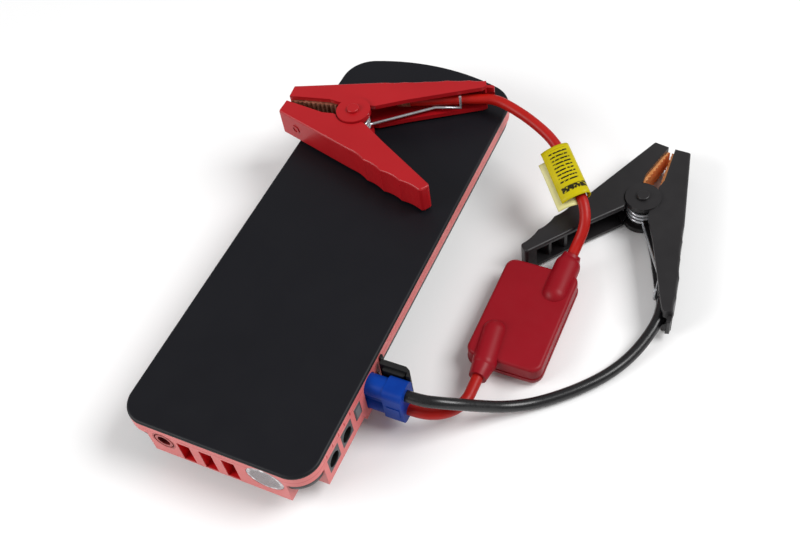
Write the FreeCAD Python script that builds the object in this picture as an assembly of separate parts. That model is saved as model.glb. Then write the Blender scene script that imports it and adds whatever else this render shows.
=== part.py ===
import FreeCAD, Part
import math
import os

# Jump starter pack: a flat battery case with ports on two sides, a two-pole plug in its side
# socket, and the clamp leads that the plug carries.
# Origin: centre of the case's underside. +X is the side with the jump socket, -Y the end with the
# USB sockets, +Z up through the top cover. Millimetres.

# ---- case ---------------------------------------------------------------------------------
CASE_W = 88.0            # across X
CASE_L = 230.0           # along Y, to the top of the bowed far end
CASE_H = 30.0
NEAR_R = 11.3            # corner radius at the straight near end
FAR_R = 16.0             # corner radius at the bowed far end
FAR_BOW = 9.5            # rise of the far end's arc over the case's width
BAND_Z0 = 22.8           # the band frame's stripe, between bottom shell and top cover
BAND_Z1 = 28.6
WALL = 2.4
FLOOR_T = 2.2
COVER_EDGE_R = 1.2
# bottom shell, from its rim down to the flat underside:
# (height, inset from the case outline, near corner radius, far corner radius)
SHELL_SECTIONS = [
    (BAND_Z0, 0.8, 10.5, 15.2), (19.0, 1.1, 10.2, 14.8), (15.0, 2.5, 10.4, 14.8),
    (10.0, 5.4, 11.6, 15.0), (5.0, 7.9, 13.5, 15.5), (0.0, 10.6, 16.0, 16.5)]
FLOOR_INSET, FLOOR_NEAR_R, FLOOR_FAR_R = 9.4, 14.8, 16.0

# ---- port panels of the band frame ---------------------------------------------------------
PANEL_Z0 = 9.8
NEAR_PANEL_X = (-31.0, 33.4)
NEAR_PANEL_T = 6.0
SIDE_PANEL_Y = (-103.5, -49.0)
SIDE_PANEL_T = 6.0
NEAR_Y = -CASE_L / 2
SIDE_X = CASE_W / 2
NEAR_BACK = NEAR_Y + NEAR_PANEL_T
SIDE_BACK = SIDE_X - SIDE_PANEL_T

USB_X = [-13.8, -3.4, 7.0]
USB_SLOT = (6.0, 13.2)   # width and height of each upright slot
USB_Z = 17.1
INLET_X, INLET_Z = -23.5, 21.0
INLET_R, INLET_HOLE_R = 5.5, 2.9
INLET_GROOVE = (4.1, 4.7)   # inner and outer radius of the ring groove in its face
LENS_X, LENS_Z = 23.5, 21.2
LENS_W, LENS_H = 17.0, 14.4
JACK_Y = [-96.1, -84.6]
JACK_Z = 18.8
JACK_INSERT = (9.0, 9.6)
JACK_HOLE_R = 3.5
BUTTON_Y, BUTTON_Z = -74.3, 19.8
BUTTON_SLOT = (5.4, 8.4)
BUTTON_TRAVEL = 0.8
WINDOW_Y = [-99.8 + 5.05 * i for i in range(5)]
WINDOW_Z = 26.2
WINDOW = (0.9, 2.2)
BOARD_Z = 8.2
BOARD_T = 1.6
BOARD_TOP = BOARD_Z + BOARD_T

# ---- jump socket and its plug ---------------------------------------------------------------
PLUG_Y = -62.6
POLE_Z = [22.8, 12.4]    # black pole above, red pole below
LOBE_R = 4.7
SOCKET_GAP = 0.3
PLUG_NOSE_X = 29.0       # tip of the plug, inside the socket
PLUG_STEP_X = 52.0       # where the slit nose meets the rear block
PLUG_REAR_X = 60.5
CONTACT_R, CONTACT_BORE_R = 3.2, 2.6
PIN_R = 2.3
SOCKET_BOSS_Y = (PLUG_Y - 7.2, PLUG_Y + 7.2)
SOCKET_BOSS_X, SOCKET_BOSS_Z0 = 34.0, 6.0

# ---- leads -----------------------------------------------------------------------------------
CORD_R = 2.5
MODULE_X, MODULE_Y = 87.25, -1.35
MODULE_W, MODULE_L, MODULE_H = 33.3, 53.7, 12.0
MODULE_SPLIT = 5.0
HUMP_R, HUMP_Z = 5.3, 10.0
FAR_HUMP_R, FAR_HUMP_Z = 5.8, 9.6
FAR_HUMP_X, FAR_HUMP_Y = 96.3, (13.2, 29.6)
NEAR_HUMP_START, NEAR_HUMP_END = (78.6, -14.0), (80.35, -29.7)
# routes of the three cords, point by point
BLACK_ROUTE = [
    (60.5, -62.6, 22.8), (66.8, -62.6, 22.8), (73.7, -60.5, 21.9), (80.2, -56.7, 18.5), (86.7, -51.7, 13.1),
    (94.5, -45.4, 6.8), (103.1, -38.8, 3.4), (111.6, -31.9, 2.8), (120.5, -23.4, 2.7), (128.5, -13.8, 2.7),
    (134.7, -3.2, 3.2), (139.0, 7.6, 5.4), (141.6, 19.1, 8.25), (138.39, 35.81, 8.25), (136.53, 44.08, 8.25),
    (135.12, 52.29, 8.25)]
RED_SHORT_ROUTE = [
    (60.5, -62.6, 12.4), (65.4, -62.6, 12.4), (70.7, -61.1, 12.0), (75.25, -58.05, 11.3), (78.6, -53.7, 10.6),
    (80.35, -48.5, 10.1), (80.35, -43.0, 10.0), (80.35, -37.6, 10.0)]
RED_LONG_ROUTE = [
    (96.8, 35.6, 11.5), (97.5, 40.5, 14.0), (98.5, 45.0, 18.0), (98.0, 50.0, 22.0), (94.5, 56.5, 25.5),
    (88.0, 63.5, 26.0), (81.5, 72.0, 28.5), (72.5, 81.0, 32.0), (61.0, 86.5, 35.0), (49.5, 90.5, 37.0),
    (39.5, 92.5, 38.5), (31.4, 90.32, 38.55), (16.85, 85.05, 38.55), (8.98, 81.9, 38.55), (1.09, 79.2, 38.55)]

# ---- clamps ----------------------------------------------------------------------------------
ARM_HALF = 7.25          # half the thickness of an arm
DISC_PROUD = 1.0
ARM_WALL = 2.2
DISC_R = 8.1
PIVOT_R = 2.3
PIN_HEAD_R, PIN_HEAD_T = 2.9, 1.4
RED_HUB = (-18.0, 58.0, CASE_H + 0.3 + DISC_PROUD + ARM_HALF)
RED_TURN = -177.5        # direction from the hub to the jaw tips, degrees from +X
BLACK_HUB = (117.2, 74.5, DISC_PROUD + ARM_HALF)
BLACK_TURN = 83.4


def vec(x, y, z=0.0):
    return FreeCAD.Vector(x, y, z)


def box(x0, x1, y0, y1, z0, z1):
    return Part.makeBox(x1 - x0, y1 - y0, z1 - z0, vec(x0, y0, z0))


def rod(radius, start, end):
    """Solid cylinder between two points."""
    start = FreeCAD.Vector(*start)
    axis = FreeCAD.Vector(*end) - start
    return Part.makeCylinder(radius, axis.Length, start, axis)


def taper(radius_start, radius_end, start, end):
    start = FreeCAD.Vector(*start)
    axis = FreeCAD.Vector(*end) - start
    return Part.makeCone(radius_start, radius_end, axis.Length, start, axis)


def join(shapes):
    result = shapes[0]
    if len(shapes) > 1:
        result = result.multiFuse(shapes[1:]).removeSplitter()
    return result


def prism(points, z0, z1):
    """Polygon in XY extruded from z0 to z1."""
    corners = [vec(x, y, z0) for x, y in points]
    face = Part.Face(Part.makePolygon(corners + corners[:1]))
    return face.extrude(vec(0, 0, z1 - z0))


def rounded_box(x0, x1, y0, y1, z0, z1, radius):
    """Box with its four upright edges rounded."""
    solid = box(x0, x1, y0, y1, z0, z1)
    upright = [e for e in solid.Edges if abs(e.Vertexes[0].Z - e.Vertexes[1].Z) > 0.5 * (z1 - z0)]
    return solid.makeFillet(radius, upright)


def edges_at(solid, z):
    """Edges lying wholly at one height."""
    return [e for e in solid.Edges if abs(e.BoundBox.ZMin - z) < 1e-4 and abs(e.BoundBox.ZMax - z) < 1e-4]


def save(name, *solids):
    shape = solids[0] if len(solids) == 1 else Part.makeCompound(list(solids))
    loose = [s for s in shape.Solids if not s.isValid()]
    print(f"{name:20s} solids {len(shape.Solids)} volume {shape.Volume / 1000:8.2f} cm3"
          + ("  NOT VALID" if loose or not shape.Solids else ""))
    shape.exportStep(f"parts/{name}.step")


# ---- case outline ------------------------------------------------------------------------------
def case_wire(inset, z, near_r=None, far_r=None):
    """The case's outline, drawn in by an inset: straight near end and sides, bowed far end."""
    near_r = NEAR_R - inset if near_r is None else near_r
    far_r = FAR_R - inset if far_r is None else far_r
    half = CASE_W / 2 - inset
    full_r = ((CASE_W / 2) ** 2 + FAR_BOW ** 2) / (2 * FAR_BOW)
    bow_y = CASE_L / 2 - full_r
    bow_r = full_r - inset
    far_x = half - far_r
    far_y = bow_y + math.sqrt((bow_r - far_r) ** 2 - far_x ** 2)
    near_x = half - near_r
    near_y = NEAR_Y + inset + near_r
    turn = math.atan2(far_y - bow_y, far_x)

    def on_arc(cx, cy, radius, angle):
        return vec(cx + radius * math.cos(angle), cy + radius * math.sin(angle), z)

    quarter = math.pi / 2
    arcs = [
        (near_x, near_y, near_r, -quarter, 0.0),
        (far_x, far_y, far_r, 0.0, turn),
        (0.0, bow_y, bow_r, turn, math.pi - turn),
        (-far_x, far_y, far_r, math.pi - turn, math.pi),
        (-near_x, near_y, near_r, math.pi, math.pi + quarter)]
    edges = []
    last = None
    for cx, cy, radius, start, end in arcs:
        first = on_arc(cx, cy, radius, start)
        if last is not None and (first - last).Length > 1e-6:
            edges.append(Part.LineSegment(last, first).toShape())
        middle = on_arc(cx, cy, radius, (start + end) / 2)
        last = on_arc(cx, cy, radius, end)
        edges.append(Part.Arc(first, middle, last).toShape())
    first = on_arc(near_x, near_y, near_r, -quarter)
    edges.append(Part.LineSegment(last, first).toShape())
    return Part.Wire(edges)


def case_prism(inset, z0, z1):
    return Part.Face(case_wire(inset, z0)).extrude(vec(0, 0, z1 - z0))


def case_loft(sections):
    """Smooth solid through outlines of the case, one for each (height, inset, corner radii)."""
    outlines = [case_wire(inset, z, near_r, far_r) for z, inset, near_r, far_r in sections]
    return Part.makeLoft(outlines, True, False)


POSTS = [(-24.4, -97.0), (24.4, -97.0), (-24.0, 95.0), (24.0, 95.0)]
POST_R, POST_FOOT, SCREW_R = 2.6, 4.4, 1.25
HEAD_R, HEAD_TOP = 2.4, 1.8


def make_top_cover():
    plate = case_prism(0.0, BAND_Z1, CASE_H)
    plate = plate.makeFillet(COVER_EDGE_R, edges_at(plate, CASE_H))
    posts = []
    for x, y in POSTS:
        post = rod(POST_R, (x, y, POST_FOOT), (x, y, BAND_Z1))
        posts.append(post.cut(rod(SCREW_R, (x, y, POST_FOOT), (x, y, POST_FOOT + 9.0))))
    return join([plate] + posts)


def stadium_x(radius, x0, x1):
    """Upright two-lobed slot round the plug's two poles, along X."""
    lobes = [rod(radius, (x0, PLUG_Y, z), (x1, PLUG_Y, z)) for z in POLE_Z]
    return join(lobes + [box(x0, x1, PLUG_Y - radius, PLUG_Y + radius, POLE_Z[1], POLE_Z[0])])


def lens_solid(scale, y0, y1):
    """Oval prism of the torch lens, along Y."""
    half_w, half_h = LENS_W / 2 * scale, LENS_H / 2 * scale
    centre = vec(LENS_X, y0, LENS_Z)
    oval = Part.Ellipse(centre + vec(half_w, 0), centre + vec(0, 0, half_h), centre)
    return Part.Face(Part.Wire(oval.toShape())).extrude(vec(0, y1 - y0, 0))


def make_band_frame():
    ring = case_prism(0.0, BAND_Z0, BAND_Z1).cut(case_prism(WALL, BAND_Z0 - 1, BAND_Z1 + 1))
    near = box(*NEAR_PANEL_X, NEAR_Y, NEAR_BACK, PANEL_Z0, BAND_Z1)
    side = box(SIDE_BACK, SIDE_X, *SIDE_PANEL_Y, PANEL_Z0, BAND_Z1)
    boss = box(SOCKET_BOSS_X, SIDE_X, *SOCKET_BOSS_Y, SOCKET_BOSS_Z0, BAND_Z1)
    panels = join([near, side, boss]).common(case_prism(0.0, 0, CASE_H))
    frame = join([ring, panels])
    cuts = []
    slot_w, slot_h = USB_SLOT
    for x in USB_X:
        cuts.append(box(x - slot_w / 2, x + slot_w / 2, NEAR_Y - 1, NEAR_BACK + 1,
                        USB_Z - slot_h / 2, USB_Z + slot_h / 2))
    cuts.append(rod(INLET_R, (INLET_X, NEAR_Y - 1, INLET_Z), (INLET_X, NEAR_BACK + 1, INLET_Z)))
    cuts.append(lens_solid(1.0, NEAR_Y - 1, NEAR_BACK + 1))
    wide, tall = JACK_INSERT
    for y in JACK_Y:
        cuts.append(box(SIDE_BACK - 1, SIDE_X + 1, y - wide / 2, y + wide / 2,
                        JACK_Z - tall / 2, JACK_Z + tall / 2))
    wide, tall = BUTTON_SLOT
    cuts.append(box(SIDE_BACK - 1, SIDE_X + 1, BUTTON_Y - wide / 2, BUTTON_Y + wide / 2,
                    BUTTON_Z - tall / 2, BUTTON_Z + tall / 2))
    wide, tall = WINDOW
    for y in WINDOW_Y:
        cuts.append(box(SIDE_BACK - 1, SIDE_X + 1, y - wide / 2, y + wide / 2,
                        WINDOW_Z - tall / 2, WINDOW_Z + tall / 2))
    cuts.append(stadium_x(LOBE_R + SOCKET_GAP, SOCKET_BOSS_X - 1, SIDE_X + 1))
    cuts.append(box(*STRAP_X, *STRAP_Y, *STRAP_Z))
    return frame.cut(join(cuts))


def make_bottom_shell():
    outer = case_loft(SHELL_SECTIONS)
    inner_sections = SHELL_SECTIONS[:-1] + [(FLOOR_T, FLOOR_INSET, FLOOR_NEAR_R, FLOOR_FAR_R)]
    inner = case_loft([(z, inset + WALL, near - WALL, far - WALL) for z, inset, near, far in inner_sections])
    shell = outer.cut(inner)
    near = box(*NEAR_PANEL_X, NEAR_Y - 1, NEAR_BACK + 4, PANEL_Z0, BAND_Z0 + 1)
    side = box(SIDE_BACK - 4, SIDE_X + 1, *SIDE_PANEL_Y, PANEL_Z0, BAND_Z0 + 1)
    boss = box(SOCKET_BOSS_X - 1, SIDE_X + 1, *SOCKET_BOSS_Y, SOCKET_BOSS_Z0, BAND_Z0 + 1)
    shell = shell.cut(join([near, side, boss]))
    pads, holes = [], []
    for x, y in POSTS:
        pads.append(rod(POST_R + 0.8, (x, y, HEAD_TOP), (x, y, POST_FOOT)))
        holes.append(rod(SCREW_R + 0.2, (x, y, -1), (x, y, POST_FOOT + 1)))
        holes.append(rod(HEAD_R + 0.2, (x, y, -1), (x, y, HEAD_TOP)))
    return join([shell] + pads).cut(join(holes))


def make_screws():
    screws = []
    for x, y in POSTS:
        head = rod(HEAD_R, (x, y, 0.3), (x, y, HEAD_TOP))
        shank = rod(SCREW_R, (x, y, HEAD_TOP), (x, y, POST_FOOT + 8.5))
        cross = join([box(x - 1.6, x + 1.6, y - 0.35, y + 0.35, 0.3, 1.2),
                      box(x - 0.35, x + 0.35, y - 1.6, y + 1.6, 0.3, 1.2)])
        screws.append(join([head, shank]).cut(cross))
    return screws


# ---- battery ---------------------------------------------------------------------------------
CELL_X, CELL_Y = 30.0, (-44.0, 91.0)
CELL_T, CELL_PITCH, CELL_Z0 = 7.2, 7.3, 3.2
TAB_X = [-14.0, 2.0]


def make_cell(index):
    z0 = CELL_Z0 + index * CELL_PITCH
    pouch = box(-CELL_X, CELL_X, *CELL_Y, z0, z0 + CELL_T)
    pouch = pouch.makeFillet(2.0, pouch.Edges)
    middle = z0 + CELL_T / 2
    terrace = box(-CELL_X + 2, CELL_X - 2, CELL_Y[0] - 4, CELL_Y[0] + 3, middle - 0.5, middle + 0.5)
    return join([pouch, terrace])


def make_cell_tabs():
    tabs = []
    for index in range(3):
        middle = CELL_Z0 + index * CELL_PITCH + CELL_T / 2
        for x in TAB_X:
            tabs.append(box(x - 4, x + 4, CELL_Y[0] - 8, CELL_Y[0] - 4, middle - 0.3, middle + 0.3))
    return tabs


# ---- near end ports ----------------------------------------------------------------------------
def make_usb_socket(x):
    body = box(x - 3.3, x + 3.3, NEAR_BACK, NEAR_BACK + 13.5, BOARD_TOP, USB_Z + 7.3)
    cavity = box(x - 2.6, x + 2.6, NEAR_BACK - 1, NEAR_BACK + 11.5, USB_Z - 6.2, USB_Z + 6.2)
    return body.cut(cavity)


def make_usb_tongue(x):
    tongue = box(x - 1.9, x + 0.1, NEAR_BACK + 2.5, NEAR_BACK + 11.5, USB_Z - 5.7, USB_Z + 5.7)
    return tongue.makeChamfer(0.5, [e for e in tongue.Edges if e.BoundBox.YMax < NEAR_BACK + 2.6])


def make_charge_inlet():
    nose = rod(INLET_R, (INLET_X, NEAR_Y, INLET_Z), (INLET_X, NEAR_BACK, INLET_Z))
    body = box(INLET_X - 5.6, INLET_X + 5.6, NEAR_BACK, NEAR_BACK + 9.0, BOARD_TOP, INLET_Z + 5.6)
    bore = rod(INLET_HOLE_R, (INLET_X, NEAR_Y - 1, INLET_Z), (INLET_X, NEAR_BACK + 7, INLET_Z))
    start, end = (INLET_X, NEAR_Y - 1, INLET_Z), (INLET_X, NEAR_Y + 0.6, INLET_Z)
    core, ring = [rod(radius, start, end) for radius in INLET_GROOVE]
    return join([nose, body]).cut(bore).cut(ring.cut(core))


def make_inlet_pin():
    return rod(0.8, (INLET_X, NEAR_Y + 3.0, INLET_Z), (INLET_X, NEAR_BACK + 7, INLET_Z))


def make_torch_lens():
    lens = lens_solid(1.0, NEAR_Y, NEAR_Y + 2.2)
    return lens.makeFillet(0.5, [e for e in lens.Edges if e.BoundBox.YMax < NEAR_Y + 0.01])


def make_torch_reflector():
    cup = lens_solid(0.96, NEAR_Y + 2.2, NEAR_Y + 13.0)
    start = (LENS_X, NEAR_Y + 2.1, LENS_Z)
    end = (LENS_X, NEAR_Y + 11.4, LENS_Z)
    bowl = taper(6.3, 2.0, start, end)
    hole = rod(2.0, end, (LENS_X, NEAR_Y + 14, LENS_Z))
    return cup.cut(join([bowl, hole]))


def make_torch_led():
    board = box(LENS_X - 5.5, LENS_X + 5.5, NEAR_Y + 13.0, NEAR_Y + 14.2, LENS_Z - 5.5, LENS_Z + 5.5)
    dome = rod(1.6, (LENS_X, NEAR_Y + 13.0, LENS_Z), (LENS_X, NEAR_Y + 11.8, LENS_Z))
    return join([board, dome])


# ---- side ports --------------------------------------------------------------------------------
def make_output_jack(y):
    wide, tall = JACK_INSERT
    nose = box(SIDE_BACK, SIDE_X, y - wide / 2, y + wide / 2, JACK_Z - tall / 2, JACK_Z + tall / 2)
    body = box(27.5, SIDE_BACK, y - 4.6, y + 4.6, BOARD_TOP, JACK_Z + 5.1)
    bore = rod(JACK_HOLE_R, (30.0, y, JACK_Z - 0.8), (SIDE_X + 1, y, JACK_Z - 0.8))
    return join([nose, body]).cut(bore)


def make_jack_pins():
    return [rod(1.0, (30.0, y, JACK_Z - 0.8), (SIDE_X - 5.0, y, JACK_Z - 0.8)) for y in JACK_Y]


def make_power_button():
    wide, tall = BUTTON_SLOT[0] - 0.4, BUTTON_SLOT[1] - 0.4
    cap = box(SIDE_BACK - 1.1, SIDE_X + 0.3, BUTTON_Y - wide / 2, BUTTON_Y + wide / 2,
              BUTTON_Z - tall / 2, BUTTON_Z + tall / 2)
    cap = cap.makeFillet(0.5, [e for e in cap.Edges if e.BoundBox.XMin > SIDE_X])
    flange = box(SIDE_BACK - 1.1, SIDE_BACK - 0.2, BUTTON_Y - 3.3, BUTTON_Y + 3.3,
                 BUTTON_Z - 4.8, BUTTON_Z + 4.8)
    return join([cap, flange])


def make_button_switch():
    base = box(30.5, 35.5, BUTTON_Y - 2.9, BUTTON_Y + 2.9, BOARD_TOP, BUTTON_Z + 3.0)
    reach = SIDE_BACK - 1.1 - BUTTON_TRAVEL - 0.1
    plunger = rod(1.5, (35.5, BUTTON_Y, BUTTON_Z), (reach, BUTTON_Y, BUTTON_Z))
    return join([base, plunger])


def make_level_windows():
    wide, tall = WINDOW
    z0, z1 = WINDOW_Z - tall / 2, WINDOW_Z + tall / 2
    return [box(36.3, SIDE_X, y - wide / 2, y + wide / 2, z0, z1) for y in WINDOW_Y]


def make_level_leds():
    return [box(35.1, 36.1, y - 0.8, y + 0.8, WINDOW_Z - 1.0, WINDOW_Z + 1.0) for y in WINDOW_Y]


def make_main_board():
    outline = [(-30, -98), (-25, -104), (26, -104), (32, -101.3), (34, -97.5), (34, -71.4), (20, -71.4),
               (20, -56), (-30, -56)]
    holes = [rod(POST_R + 0.5, (x, y, BOARD_Z - 1), (x, y, BOARD_TOP + 1)) for x, y in POSTS[:2]]
    return prism(outline, BOARD_Z, BOARD_TOP).cut(join(holes))


def make_board_components():
    top = BOARD_TOP
    blocks = [box(-29, -17, -92, -80, top, top + 7), box(-13, -1, -92, -80, top, top + 7),
              box(-29, -19, -72, -60, top, top + 3), box(-14, -2, -70, -58, top, top + 2.2),
              box(6, 12, -90, -82, top, top + 1.6), box(6, 16, -74, -66, top, top + 1.6)]
    cans = [rod(3.2, (19.0, y, top), (19.0, y, top + 11)) for y in (-88.0, -80.0)]
    return blocks + cans


# ---- jump socket and cap -----------------------------------------------------------------------
STRAP_X, STRAP_Y, STRAP_Z = (SIDE_BACK + 0.5, SIDE_X + 1), (-52.4, -50.4), (10.8, 27.3)


def make_jump_socket():
    body = box(22.0, SOCKET_BOSS_X, PLUG_Y - 6.8, PLUG_Y + 6.8, SOCKET_BOSS_Z0, BAND_Z1 - 0.4)
    cavity = stadium_x(LOBE_R + SOCKET_GAP, 27.0, SOCKET_BOSS_X + 1)
    pins = [rod(PIN_R, (20.0, PLUG_Y, z), (28.0, PLUG_Y, z)) for z in POLE_Z]
    return body.cut(cavity).cut(join(pins))


def make_jump_pins():
    pins = []
    for z in POLE_Z:
        pin = rod(PIN_R, (18.0, PLUG_Y, z), (38.0, PLUG_Y, z))
        pins.append(pin.makeFillet(1.0, [e for e in pin.Edges if e.BoundBox.XMin > 37.9]))
    return pins


def make_bus_bars():
    """Copper strips from the socket's pins to the cell tabs, one for each pole."""
    x0, x1, y = 1.5, 18.0, CELL_Y[0] - 8
    plan = [(x1, PLUG_Y - 0.5), (x0, PLUG_Y - 0.5), (x0, y), (x0 + 1, y), (x0 + 1, PLUG_Y + 0.5),
            (x1, PLUG_Y + 0.5)]
    return [prism(plan, z - 2.5, z + 2.5) for z in POLE_Z]


def make_cap_strap():
    x0, x1 = STRAP_X
    anchor = box(x0, SIDE_X, *STRAP_Y, *STRAP_Z)
    lip = box(SIDE_X, SIDE_X + 1.0, STRAP_Y[0], STRAP_Y[1], *STRAP_Z)
    return join([anchor, lip])


def make_socket_cap():
    """Rubber cap, swung open: its plug side faces -Y, beside the inserted plug."""
    plate = [(45.5, -52.6), (56.6, -52.6), (58.6, -53.8), (60.0, -56.0), (60.0, -56.8), (58.2, -56.8),
             (58.2, -55.0), (45.5, -55.0)]
    cover = prism(plate, 7.2, 27.6)
    boss = rounded_box(47.4, 57.2, -56.8, -55.0, 8.6, 26.2, 0.8)
    return join([cover, boss])


# ---- plug --------------------------------------------------------------------------------------
def make_plug_housing():
    nose = [rod(LOBE_R, (PLUG_NOSE_X, PLUG_Y, z), (PLUG_STEP_X, PLUG_Y, z)) for z in POLE_Z]
    web = box(PLUG_NOSE_X, PLUG_STEP_X, PLUG_Y - 3.0, PLUG_Y + 3.0, POLE_Z[1], POLE_Z[0])
    rear = box(PLUG_STEP_X, PLUG_REAR_X, PLUG_Y - 5.4, PLUG_Y + 5.4, 7.4, 27.8)
    lengthwise = [e for e in rear.Edges if abs(e.BoundBox.XLength - (PLUG_REAR_X - PLUG_STEP_X)) < 0.01]
    rear = rear.makeFillet(3.6, lengthwise)
    mark = box(PLUG_STEP_X + 1.4, PLUG_REAR_X - 1.2, PLUG_Y - 5.7, PLUG_Y - 5.2, 13.6, 18.8)
    bores = [rod(CONTACT_R, (PLUG_NOSE_X - 1, PLUG_Y, z), (48.0, PLUG_Y, z)) for z in POLE_Z]
    return join(nose + [web, rear, mark]).cut(join(bores))


def make_plug_contacts():
    contacts = []
    for z in POLE_Z:
        tube = rod(CONTACT_R, (PLUG_NOSE_X + 0.6, PLUG_Y, z), (48.0, PLUG_Y, z))
        contacts.append(tube.cut(rod(CONTACT_BORE_R, (PLUG_NOSE_X, PLUG_Y, z), (39.5, PLUG_Y, z))))
    return contacts


# ---- cords -------------------------------------------------------------------------------------
def cord_path(name, points):
    """Straight runs joined by tangent arcs, each as large as its two runs allow."""
    route = [FreeCAD.Vector(*p) for p in points]
    edges, radii = [], []
    last = route[0]
    for before, corner, after in zip(route, route[1:], route[2:]):
        back = (before - corner).normalize()
        ahead = (after - corner).normalize()
        run = min((before - corner).Length, (after - corner).Length)
        half_turn = (math.pi - back.getAngle(ahead)) / 2
        reach = 0.45 * run
        radii.append(reach / math.tan(half_turn))
        start = corner + back * reach
        end = corner + ahead * reach
        to_centre = (back + ahead).normalize()
        centre = corner + to_centre * (radii[-1] / math.cos(half_turn))
        middle = centre - to_centre * radii[-1]
        edges.append(Part.LineSegment(last, start).toShape())
        edges.append(Part.Arc(start, middle, end).toShape())
        last = end
    edges.append(Part.LineSegment(last, route[-1]).toShape())
    wire = Part.Wire(edges)
    print(f"{name} length {wire.Length:.1f}, radii " + " ".join(f"{r:.1f}" for r in radii))
    return wire


def tube(wire, radius):
    start = wire.Edges[0]
    at = start.valueAt(start.FirstParameter)
    along = start.tangentAt(start.FirstParameter)
    circle = Part.Wire(Part.Circle(at, along, radius).toShape())
    solid = wire.makePipeShell([circle], True, True, 2)
    return Part.Solid(solid) if solid.ShapeType != "Solid" else solid


def make_cord(name, points):
    path = cord_path(name, points)
    solid = tube(path, CORD_R)
    expected = math.pi * CORD_R ** 2 * path.Length
    print(f"{name} volume {solid.Volume:.0f} of {expected:.0f}")
    return solid


# ---- in-line module ----------------------------------------------------------------------------
def module_block(margin, z0, z1, radius):
    half_w, half_l = MODULE_W / 2 + margin, MODULE_L / 2 + margin
    return rounded_box(MODULE_X - half_w, MODULE_X + half_w, MODULE_Y - half_l, MODULE_Y + half_l,
                       z0, z1, radius)


def module_humps():
    """Raised cord entries that lie on the module's top, each ending round its cord."""
    start, ahead = RED_LONG_ROUTE[0], RED_LONG_ROUTE[1]
    along = (FreeCAD.Vector(*ahead) - FreeCAD.Vector(*start)).normalize()
    neck_foot = FreeCAD.Vector(*start) - along * 4.5
    far_start, far_end = [(FAR_HUMP_X, y, FAR_HUMP_Z) for y in FAR_HUMP_Y]
    near_start, near_end = (*NEAR_HUMP_START, HUMP_Z), (*NEAR_HUMP_END, HUMP_Z)
    return [
        rod(FAR_HUMP_R, far_start, far_end),
        Part.makeSphere(FAR_HUMP_R, vec(*far_start)),
        Part.makeSphere(FAR_HUMP_R, vec(*far_end)),
        taper(4.9, 3.9, tuple(neck_foot), start),
        rod(HUMP_R, near_start, near_end),
        Part.makeSphere(HUMP_R, vec(*near_start)),
        Part.makeSphere(HUMP_R, vec(*near_end)),
        taper(5.1, 3.9, near_end, RED_SHORT_ROUTE[-1])]


def make_module_base():
    base = module_block(0.3, 0.0, MODULE_SPLIT, 5.0)
    base = base.makeFillet(4.0, edges_at(base, 0.0))
    return base.cut(module_block(-2.6, 1.6, MODULE_SPLIT + 1, 2.6)).cut(join(module_humps()))


def make_module_top():
    top = module_block(0.0, MODULE_SPLIT, MODULE_H, 4.6)
    top = top.makeFillet(1.6, edges_at(top, MODULE_H))
    inside = module_block(-1.8, MODULE_SPLIT - 1, MODULE_H - 1.8, 3.2)
    return join([top.cut(inside)] + module_humps())


def make_module_board():
    half_w, half_l = MODULE_W / 2 - 3.0, MODULE_L / 2 - 5.0
    board = box(MODULE_X - half_w, MODULE_X + half_w, MODULE_Y - half_l, MODULE_Y + half_l, 1.6, 3.2)
    chips = [box(MODULE_X - 9, MODULE_X - 3, MODULE_Y + y, MODULE_Y + y + 6, 3.2, 4.4) for y in (-4, 4, 12)]
    return join([board] + chips)


# ---- label on the long red cord ----------------------------------------------------------------
TAG_START, TAG_END = (79.5, 79.8, 35.3), (96.2, 59.4, 29.4)
TAG_ASIDE = (-8.2, -7.8, -4.2)
TAG_T = 0.5
TAG_LEAVES = [(0.0, 0.0), (2.0, 1.3)]    # (shift sideways, drop) of the folded label's two leaves


def make_cable_tag(path):
    """Folded label: a sleeve round the cord and two flat leaves lying against it."""
    start, end, aside = FreeCAD.Vector(*TAG_START), FreeCAD.Vector(*TAG_END), FreeCAD.Vector(*TAG_ASIDE)
    length = (end - start).Length
    along = (end - start).normalize()
    normal = along.cross(aside).normalize()
    if normal.z < 0:
        normal = normal * -1.0
    sideways = FreeCAD.Vector(*TAG_ASIDE).normalize()
    pieces = []
    for shift, drop in TAG_LEAVES:
        first = start + sideways * shift - normal * drop
        last = end + sideways * shift - normal * drop
        corners = [first, last, last + aside, first + aside]
        pieces.append(Part.Face(Part.makePolygon(corners + corners[:1])).extrude(normal * -TAG_T))
    slab = Part.makeBox(60, 60, length)
    slab.Placement = FreeCAD.Placement(start, FreeCAD.Rotation(vec(0, 0, 1), along)) * \
        FreeCAD.Placement(vec(-30, -30, 0), FreeCAD.Rotation())
    sleeve = tube(path, CORD_R + 0.6).common(slab)
    return join([sleeve] + pieces).cut(tube(path, CORD_R))


# ---- clamps ------------------------------------------------------------------------------------
# A clamp in its own frame: hub at the origin, jaw tips towards +X, handles towards -X, the free arm on
# the +Y side. The cable arm is drawn on the +Y side too and then mirrored.
JAW_EDGE = [(9.0, 3.9), (14.0, 4.6), (34.4, 1.6)]
TIP_OUT = (34.9, 9.0)
FREE_ARM = {
    "inner": [(-51.4, 33.7), (-21.2, 14.5), (-8.7, 6.0)], "scallop": 0.9,
    "ridges": [(-7.2, 23.2), (-16.6, 27.6), (-26.6, 31.7), (-36.8, 34.8), (-48.0, 38.1)]}
CABLE_ARM = {
    "inner": [(-54.6, 32.2), (-52.8, 30.5), (-21.2, 13.5), (-8.7, 5.9)], "scallop": 0.4,
    "ridges": [(-7.2, 22.6), (-16.0, 25.2), (-25.5, 28.0), (-35.3, 31.4), (-45.4, 34.2), (-53.2, 35.9)]}
CABLE_LIP = [(-50.6, 33.6), (-51.2, 35.3), (-57.0, 36.4), (-57.8, 34.6)]
OPEN_SHIFT = 2.0
EDGE_ROUND, END_ROUND = 1.0, 1.6
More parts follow.
